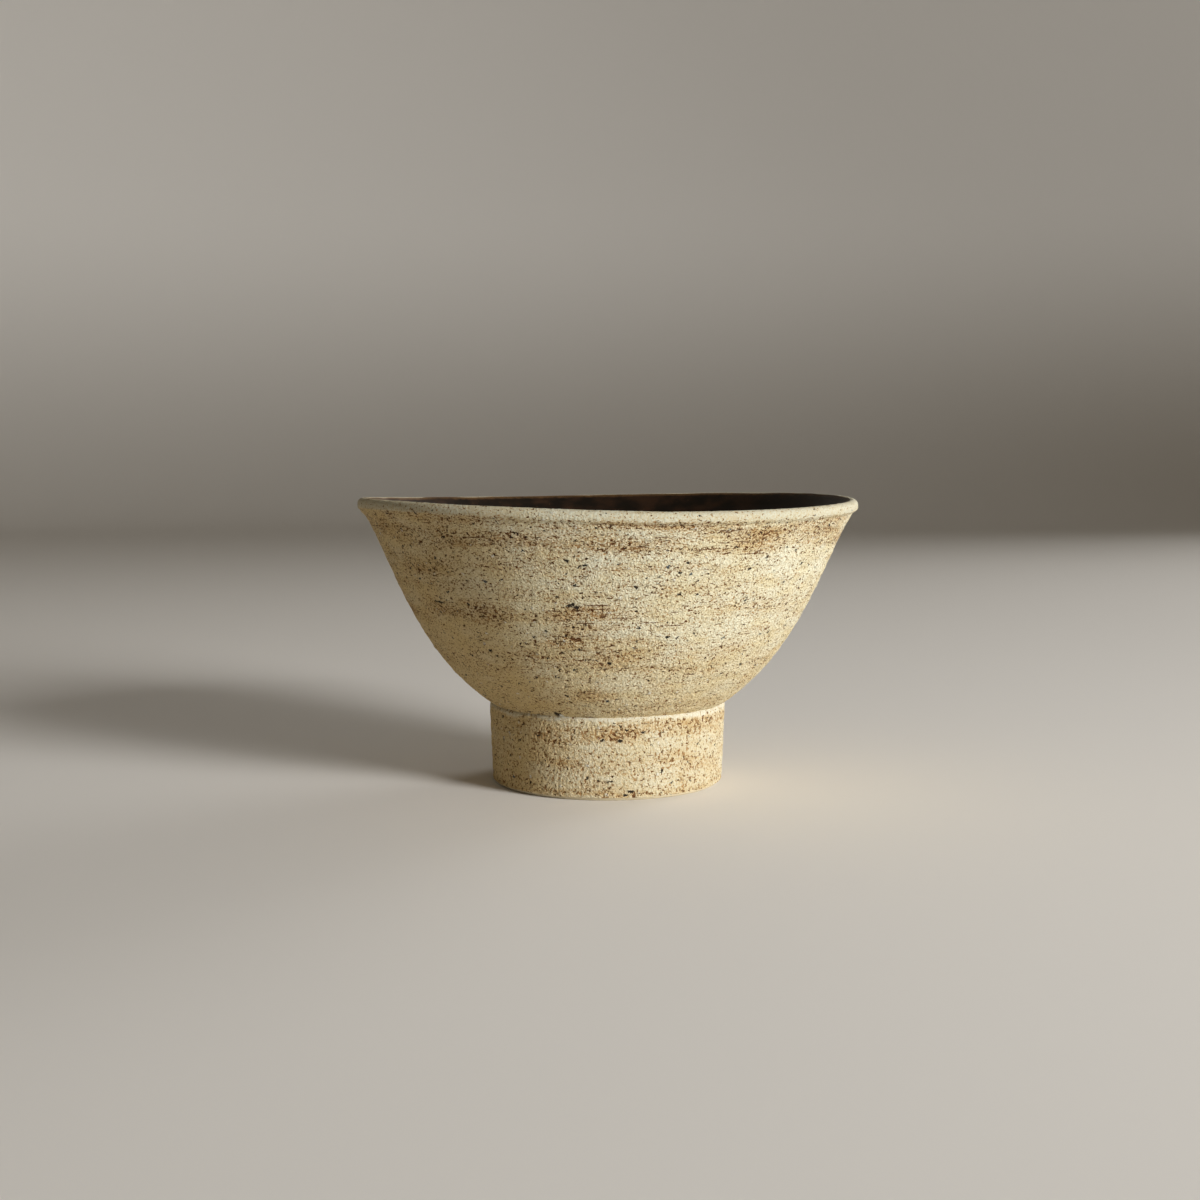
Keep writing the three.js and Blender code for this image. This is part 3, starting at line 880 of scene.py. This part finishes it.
def clayMaterial(name, look):
    material, tree, shader, place = newMaterial(name)
    grain, hole, grog = clayMarks(tree, place, look)
    cloud, _ = noiseAt(tree, place, look["cloudSize"], detail=4.0, roughness=0.6)
    colour = mixColour(tree, stepUp(tree, cloud, 0.35, 0.68), look["clay"], look["paleClay"])
    colour = mixColour(tree, maths(tree, "MULTIPLY_ADD", grain, -0.35, 0.35), colour, look["darkClay"])
    colour = mixColour(tree, maths(tree, "MULTIPLY", grog, 0.6), colour, look["grog"])
    colour = mixColour(tree, hole, colour, look["darkClay"])
    colour = mixColour(tree, maths(tree, "MULTIPLY", readValue(tree, "wash"), 0.92), colour, look["wash"])
    wire(tree, colour, shader.inputs["Base Color"])
    wire(tree, maths(tree, "MULTIPLY_ADD", hole, 0.08, look["roughness"]), shader.inputs["Roughness"])
    shader.inputs["Specular IOR Level"].default_value = look["sheen"]
    bumpFrom(tree, shader, clayHeight(tree, place, look), look["bump"])
    return material


def makeBowlBody(look):
    shown = evenly(bareBelly, look["rowStep"])
    rest = np.vstack([evenly(seatBelly, 1 * mm)[1:], hiddenRows(clayOutside, 3 * mm)[1:],
                      evenly(clayInside, 3 * mm)])
    rows = np.vstack([shown, rest])
    turn = roundWheel(look["columns"])
    seen = (np.arange(len(rows)) < len(shown))[:, None]
    length = np.concatenate([along(shown), np.zeros(len(rest))])[:, None]
    showing = seen * smooth(length, 0, 3 * mm) * smooth(rows[:, :1], seatInner, seatInner - 0.8 * mm)
    lift = showing * ridges(turn, length, look)
    piece = turnOutline("bowlBodyClay", rows, look["columns"], lift, {"showing": showing, "wash": 0.0})
    applyRelief(piece, lambda tree, place: clayHeight(tree, place, look))
    piece.data.materials.clear()
    piece.data.materials.append(clayMaterial("bareBowlClay", look))
    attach(piece, "root")
    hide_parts("bowl_body")
    print("bowl body:", len(piece.data.polygons), "faces")


footRing = dict(bowlBody, **{"columns": 480, "rowStep": 0.35 * mm, "seed": 223, "ridgeStep": 3.1 * mm})


def makeFootRing(look):
    toe = footToe - form["footWallBase"]
    standing = np.vstack([at(toe, form["recessBevel"]), at(toe + form["recessBevel"], 0),
                          at(footToe - form["standingBevel"], 0), footSide(form["standingBevel"]),
                          footSide(form["standingBevel"] + form["bareStrip"])])
    hidden = np.vstack([footCoated, seatFoot[-2::-1]])
    inner = np.vstack([seatFoot[:1], standing[:1]])
    shownBase, shownInner = evenly(standing, 0.2 * mm), evenly(inner, look["rowStep"])
    back = evenly(hidden, 1.2 * mm)[1:-1]
    rows = np.vstack([shownBase, back, shownInner[:-1]])
    turn = roundWheel(look["columns"])
    radius, height = rows[:, :1], rows[:, 1:]
    number = np.arange(len(rows))[:, None]
    onInner = number >= len(shownBase) + len(back)
    onBase = number < len(shownBase)
    seatLevel = seatFoot[0, 1]
    showing = onInner * smooth(height, seatLevel, seatLevel - 1 * mm) * smooth(height, 0.6 * mm, 2 * mm)
    lift = showing * ridges(turn, height + 0 * radius, look)
    wash = onBase * smooth(radius, footToe - 1.1 * mm, footToe - 0.5 * mm)
    piece = turnOutline("footRingClay", rows, look["columns"], lift, {
        "showing": showing, "wash": wash,
    })
    applyRelief(piece, lambda tree, place: clayHeight(tree, place, look))
    piece.data.materials.clear()
    piece.data.materials.append(clayMaterial("bareFootClay", look))
    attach(piece, "root")
    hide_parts("foot_ring")
    print("foot ring:", len(piece.data.polygons), "faces")


lutingSlip = dict(bowlBody, **{
    "columns": 360, "seed": 307, "beadRows": 14, "bead": 0.9 * mm, "bulge": 0.28 * mm, "squeeze": 0.2 * mm,
    "clay": (0.33, 0.20, 0.10), "paleClay": (0.42, 0.28, 0.15), "cover": 0.2,
})


def makeLutingSlip(look):
    toe = footToe - form["footWallBase"]
    down = at(toe, form["recessBevel"]) - seatFoot[0]
    onRing = seatFoot[0] + down / np.linalg.norm(down) * look["bead"]
    onBelly = bareBelly[np.argmin(np.abs(along(bareBelly) - along(bareBelly)[-1] + look["bead"]))]
    middle = (onRing + onBelly) / 2
    outward = at(onRing[1] - onBelly[1], onBelly[0] - onRing[0])
    outward = outward / np.linalg.norm(outward) * (1 if outward[0] < 0 else -1)
    bead = bezier(onBelly, middle + outward * look["bulge"], onRing, count=look["beadRows"])
    rows = np.vstack([bead, evenly(seatFoot, 1 * mm), [wallStart], evenly(seatBelly[::-1], 1 * mm)])
    turn = roundWheel(look["columns"])
    share = np.zeros((len(rows), 1))
    share[:len(bead), 0] = np.sin(np.linspace(0, math.pi, len(bead)))
    lift = look["squeeze"] * share * (wheelNoise(look["seed"], turn, 0 * share, 19, 1)
                                      + 0.6 * wheelNoise(look["seed"] + 1, turn, 0 * share, 57, 1))
    piece = turnOutline("lutingSlipBead", rows, look["columns"], lift, {"showing": share, "wash": 0.0})
    applyRelief(piece, lambda tree, place: clayHeight(tree, place, look))
    piece.data.materials.clear()
    piece.data.materials.append(clayMaterial("joiningClay", look))
    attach(piece, "root")
    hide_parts("luting_slip")
    print("luting slip:", len(piece.data.polygons), "faces")


makeWallSlip(wallSlip)
makeFootSlip(footSlip)
makeInnerGlaze(innerGlaze)
makeBowlBody(bowlBody)
makeFootRing(footRing)
makeLutingSlip(lutingSlip)

# a pale floor that curves up into a wall all round
studio = {
    "floorRadius": 1.4, "coveRadius": 0.9, "wallTop": 2.0,
    "sides": 96, "colour": (0.77, 0.74, 0.69), "roughness": 0.9, "sheen": 0.1,
    "backdropGlow": 0.22, "glowTop": 0.45,  # a paler backdrop, with no more light on the bowl
    "keyPlace": (1.22, -1.0, 0.50), "keySize": 0.53, "keyPower": 7.2,
    "backPlace": (1.05, 1.1, 0.45), "backSize": 0.7, "backPower": 1.9,
    "lampSpread": 80,  # degrees; keeps the floor under the lamps plain
    "worldColour": (1.0, 0.9, 0.76), "worldStrength": 0.14,
}


def makeStage(look):
    reach, cove = look["floorRadius"], look["coveRadius"]
    rows = np.vstack([evenly(np.array([[0.001, 0], [reach, 0]]), 0.1),
                      arc(at(reach, cove), cove, -math.pi / 2, 0, 24)[1:],
                      [[reach + cove, look["wallTop"]]]])
    turn = roundWheel(look["sides"])
    points = np.stack([rows[:, :1] * np.cos(turn), rows[:, :1] * np.sin(turn),
                       rows[:, 1:] + 0 * turn], axis=2).reshape(-1, 3)
    grid = np.arange(len(points)).reshape(len(rows), look["sides"])
    a, b = grid[:-1], grid[1:]
    faces = np.stack([a, b, np.roll(b, -1, 1), np.roll(a, -1, 1)], axis=2).reshape(-1, 4).tolist()
    faces.append(grid[0].tolist())
    mesh = bpy.data.meshes.new("studioFloor")
    mesh.from_pydata(points.tolist(), [], faces)
    mesh.shade_smooth()
    floor = bpy.data.objects.new("studioFloor", mesh)
    scene.collection.objects.link(floor)
    material, tree, shader, place = newMaterial("paleFloor")
    shader.inputs["Base Color"].default_value = (*look["colour"], 1)
    shader.inputs["Roughness"].default_value = look["roughness"]
    shader.inputs["Specular IOR Level"].default_value = look["sheen"]
    level = tree.nodes.new("ShaderNodeSeparateXYZ")
    wire(tree, place, level.inputs[0])
    rise = stepUp(tree, level.outputs[2], 0.0, look["glowTop"])
    toCamera = tree.nodes.new("ShaderNodeLightPath").outputs["Is Camera Ray"]
    glow = maths(tree, "MULTIPLY", maths(tree, "MULTIPLY", rise, look["backdropGlow"]), toCamera)
    wire(tree, glow, shader.inputs["Emission Strength"])
    shader.inputs["Emission Color"].default_value = (*look["colour"], 1)
    mesh.materials.append(material)


def makeLamp(name, place, size, power, towards=(0, 0, 0.04)):
    lamp = bpy.data.lights.new(name, "AREA")
    lamp.shape = "SQUARE"
    lamp.size = size
    lamp.spread = math.radians(studio["lampSpread"])
    lamp.energy = power
    holder = bpy.data.objects.new(name, lamp)
    holder.location = place
    holder.rotation_euler = (Vector(towards) - Vector(place)).to_track_quat("-Z", "Y").to_euler()
    scene.collection.objects.link(holder)


makeStage(studio)
makeLamp("keyLamp", studio["keyPlace"], studio["keySize"], studio["keyPower"])
makeLamp("backLamp", studio["backPlace"], studio["backSize"], studio["backPower"])
world = bpy.data.worlds.new("studioWorld")
world.use_nodes = True
world.node_tree.nodes["Background"].inputs["Color"].default_value = (*studio["worldColour"], 1)
world.node_tree.nodes["Background"].inputs["Strength"].default_value = studio["worldStrength"]
scene.world = world
print("stage and lamps placed")
